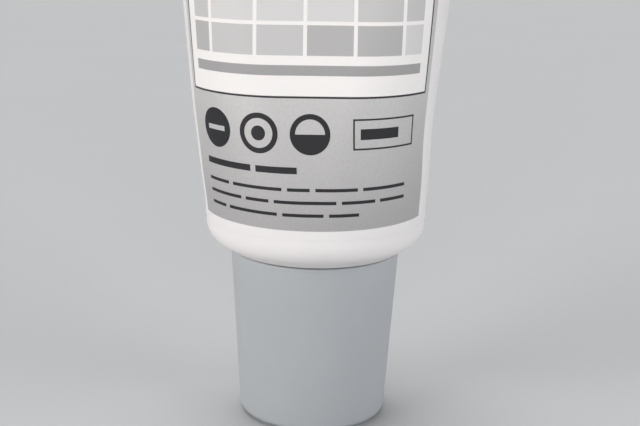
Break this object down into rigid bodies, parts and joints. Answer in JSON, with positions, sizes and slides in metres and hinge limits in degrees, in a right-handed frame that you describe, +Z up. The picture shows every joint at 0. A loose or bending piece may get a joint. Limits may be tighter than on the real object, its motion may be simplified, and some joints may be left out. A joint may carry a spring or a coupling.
{
  "type": "caulk tube",
  "caption": "Squeeze tube of sealant that stands on its tapered screw cap, its sleeve running from a round shoulder to a flat crimp, with a nozzle under the cap.",
  "frame": {"origin": "middle of the cap's flat end, on the surface that the tube stands on", "axes": "+Z up along the tube's axis, from the cap to the crimp; X along the crimp; the printed front faces -Y"},
  "size_m": [0.0622, 0.04, 0.167],
  "materials": {
    "sleeve_plastic": "satin white polyethylene film with satin grey print",
    "nozzle_plastic": "satin natural polyethylene",
    "cap_plastic": "satin blue-grey polypropylene"
  },
  "bodies": {
    "cap": {"cap": "cap_plastic"},
    "tube": {"tube_body": "sleeve_plastic", "nozzle": "nozzle_plastic"}
  },
  "joints": [
    {"name": "cap_off", "type": "slide", "parent": "cap", "child": "tube", "axis": [0, 0, 1], "range_m": [0, 0.03]}
  ]
}
